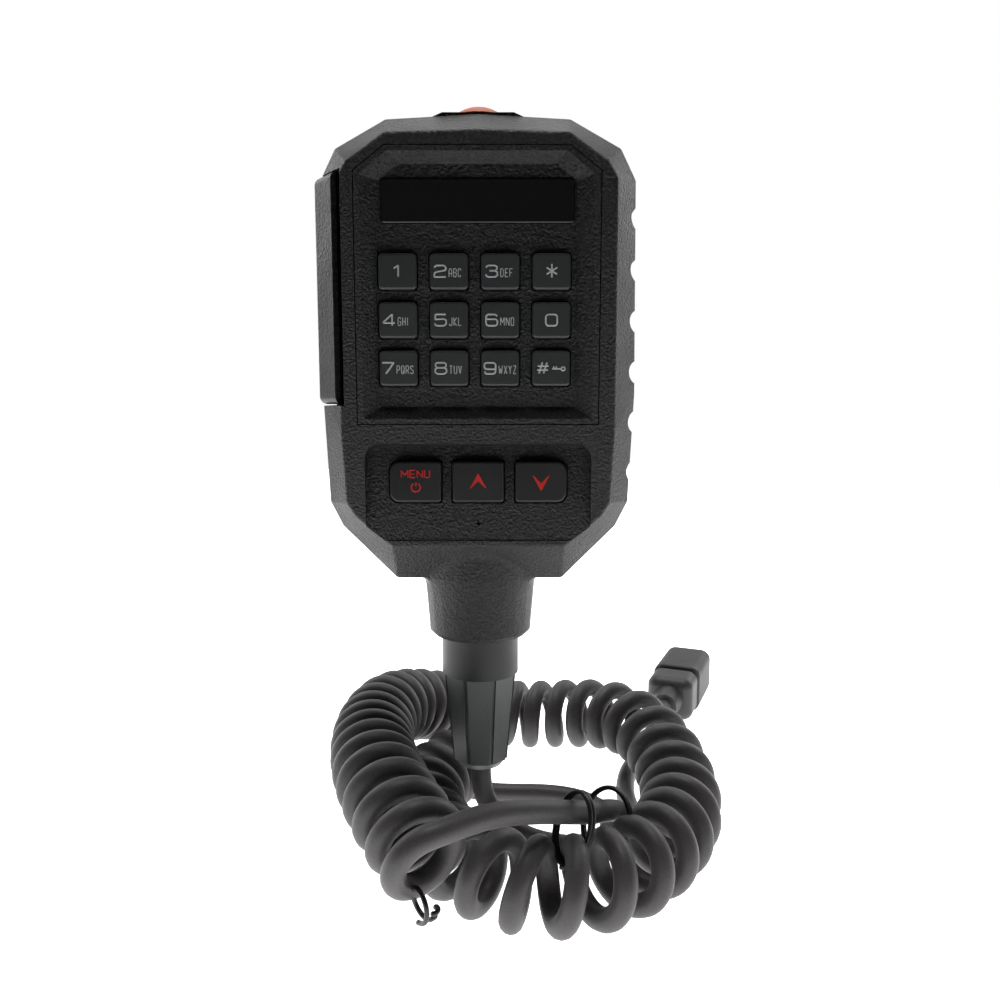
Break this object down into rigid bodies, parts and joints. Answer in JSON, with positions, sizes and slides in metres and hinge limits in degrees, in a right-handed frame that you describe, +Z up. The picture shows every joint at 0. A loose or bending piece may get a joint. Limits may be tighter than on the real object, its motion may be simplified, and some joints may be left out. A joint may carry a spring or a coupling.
{
  "type": "radio hand microphone",
  "caption": "Keypad hand microphone with a push-to-talk lever, rear hang-up stud, curly cord and capped modular plug.",
  "frame": {"origin": "centre of the round head of the hang-up stud on the microphone's back", "axes": "+Z up along the upright case, +Y out of the back along the stud, so the keypad faces -Y and +X is the right-hand side seen from the front"},
  "size_m": [0.1079, 0.1496, 0.1567],
  "materials": {
    "board_green": "solder mask",
    "boot_grey": "satin",
    "button_orange": "satin",
    "cap_rubber": "matt",
    "case_black": "fine grained satin",
    "chip_black": "matt",
    "clamp_steel": "zinc plated",
    "collar_black": "smooth satin",
    "connector_white": "satin",
    "contact_gold": "polished",
    "contact_steel": "brushed",
    "cord_rubber": "matt",
    "function_key_black": "satin",
    "key_grey": "satin, soft edges",
    "lever_black": "smooth satin",
    "mat_rubber": "matt",
    "plate_gloss": "gloss black",
    "plug_boot_rubber": "matt",
    "plug_clear": "clear moulded plastic",
    "screw_black": "black zinc",
    "screw_steel": "zinc plated",
    "stud_nickel": "satin nickel",
    "tie_wire": "satin, plastic coated wire",
    "wire_insulation": "matt"
  },
  "bodies": {
    "case": {"board_parts": "chip_black", "board_screws": "screw_steel", "boot_collar": "collar_black", "cable_connector": "connector_white", "cable_header": "connector_white", "case_screws": "screw_black", "circuit_board": "board_green", "clamp_screws": "screw_steel", "controller_chip": "chip_black", "cord_boot": "boot_grey", "cord_clamp": "clamp_steel", "cord_tie_1": "tie_wire", "cord_tie_2": "tie_wire", "curly_cord": "cord_rubber", "front_shell": "case_black", "function_contacts": "contact_steel", "function_mat": "mat_rubber", "hang_up_stud": "stud_nickel", "inner_lead": "cord_rubber", "key_contacts": "contact_steel", "keypad_bezel": "case_black", "keypad_mat": "mat_rubber", "lead_wires": "wire_insulation", "mic_capsule": "contact_steel", "mic_lead": "cord_rubber", "mic_sleeve": "mat_rubber", "name_plate": "plate_gloss", "plug_body": "plug_clear", "plug_boot": "plug_boot_rubber", "plug_contacts": "contact_gold", "plug_lead": "cord_rubber", "ptt_pin": "screw_steel", "ptt_switch": "chip_black", "rear_shell": "case_black", "stud_screw": "screw_steel", "top_switch": "chip_black"},
    "key_0": {"key_0": "key_grey"},
    "key_1": {"key_1": "key_grey"},
    "key_2": {"key_2": "key_grey"},
    "key_3": {"key_3": "key_grey"},
    "key_4": {"key_4": "key_grey"},
    "key_5": {"key_5": "key_grey"},
    "key_6": {"key_6": "key_grey"},
    "key_7": {"key_7": "key_grey"},
    "key_8": {"key_8": "key_grey"},
    "key_9": {"key_9": "key_grey"},
    "key_hash": {"key_hash": "key_grey"},
    "key_star": {"key_star": "key_grey"},
    "menu_key": {"menu_key": "function_key_black"},
    "up_key": {"up_key": "function_key_black"},
    "down_key": {"down_key": "function_key_black"},
    "ptt_lever": {"ptt_lever": "lever_black"},
    "top_button": {"top_button": "button_orange"},
    "plug_cap": {"plug_cap": "cap_rubber"}
  },
  "joints": [
    {"name": "key_0_press", "type": "slide", "parent": "case", "child": "key_0", "axis": [0, 1, 0], "range_m": [0, 0.0008], "stiffness_N_per_m": 1500},
    {"name": "key_1_press", "type": "slide", "parent": "case", "child": "key_1", "axis": [0, 1, 0], "range_m": [0, 0.0008], "stiffness_N_per_m": 1500},
    {"name": "key_2_press", "type": "slide", "parent": "case", "child": "key_2", "axis": [0, 1, 0], "range_m": [0, 0.0008], "stiffness_N_per_m": 1500},
    {"name": "key_3_press", "type": "slide", "parent": "case", "child": "key_3", "axis": [0, 1, 0], "range_m": [0, 0.0008], "stiffness_N_per_m": 1500},
    {"name": "key_4_press", "type": "slide", "parent": "case", "child": "key_4", "axis": [0, 1, 0], "range_m": [0, 0.0008], "stiffness_N_per_m": 1500},
    {"name": "key_5_press", "type": "slide", "parent": "case", "child": "key_5", "axis": [0, 1, 0], "range_m": [0, 0.0008], "stiffness_N_per_m": 1500},
    {"name": "key_6_press", "type": "slide", "parent": "case", "child": "key_6", "axis": [0, 1, 0], "range_m": [0, 0.0008], "stiffness_N_per_m": 1500},
    {"name": "key_7_press", "type": "slide", "parent": "case", "child": "key_7", "axis": [0, 1, 0], "range_m": [0, 0.0008], "stiffness_N_per_m": 1500},
    {"name": "key_8_press", "type": "slide", "parent": "case", "child": "key_8", "axis": [0, 1, 0], "range_m": [0, 0.0008], "stiffness_N_per_m": 1500},
    {"name": "key_9_press", "type": "slide", "parent": "case", "child": "key_9", "axis": [0, 1, 0], "range_m": [0, 0.0008], "stiffness_N_per_m": 1500},
    {"name": "key_hash_press", "type": "slide", "parent": "case", "child": "key_hash", "axis": [0, 1, 0], "range_m": [0, 0.0008], "stiffness_N_per_m": 1500},
    {"name": "key_star_press", "type": "slide", "parent": "case", "child": "key_star", "axis": [0, 1, 0], "range_m": [0, 0.0008], "stiffness_N_per_m": 1500},
    {"name": "menu_key_press", "type": "slide", "parent": "case", "child": "menu_key", "axis": [0, 1, 0], "range_m": [0, 0.0008], "stiffness_N_per_m": 1500},
    {"name": "up_key_press", "type": "slide", "parent": "case", "child": "up_key", "axis": [0, 1, 0], "range_m": [0, 0.0008], "stiffness_N_per_m": 1500},
    {"name": "down_key_press", "type": "slide", "parent": "case", "child": "down_key", "axis": [0, 1, 0], "range_m": [0, 0.0008], "stiffness_N_per_m": 1500},
    {"name": "ptt_press", "type": "hinge", "parent": "case", "child": "ptt_lever", "pos_m": [-0.0275, -0.0196, -0.018], "axis": [0, 1, 0], "range_deg": [0, 1.8], "stiffness_Nm_per_rad": 2},
    {"name": "top_button_press", "type": "slide", "parent": "case", "child": "top_button", "axis": [0, 0, -1], "range_m": [0, 0.001], "stiffness_N_per_m": 1500},
    {"name": "plug_cap_pull", "type": "slide", "parent": "case", "child": "plug_cap", "axis": [0.3907, 0.9205, 0], "range_m": [0, 0.022]}
  ]
}
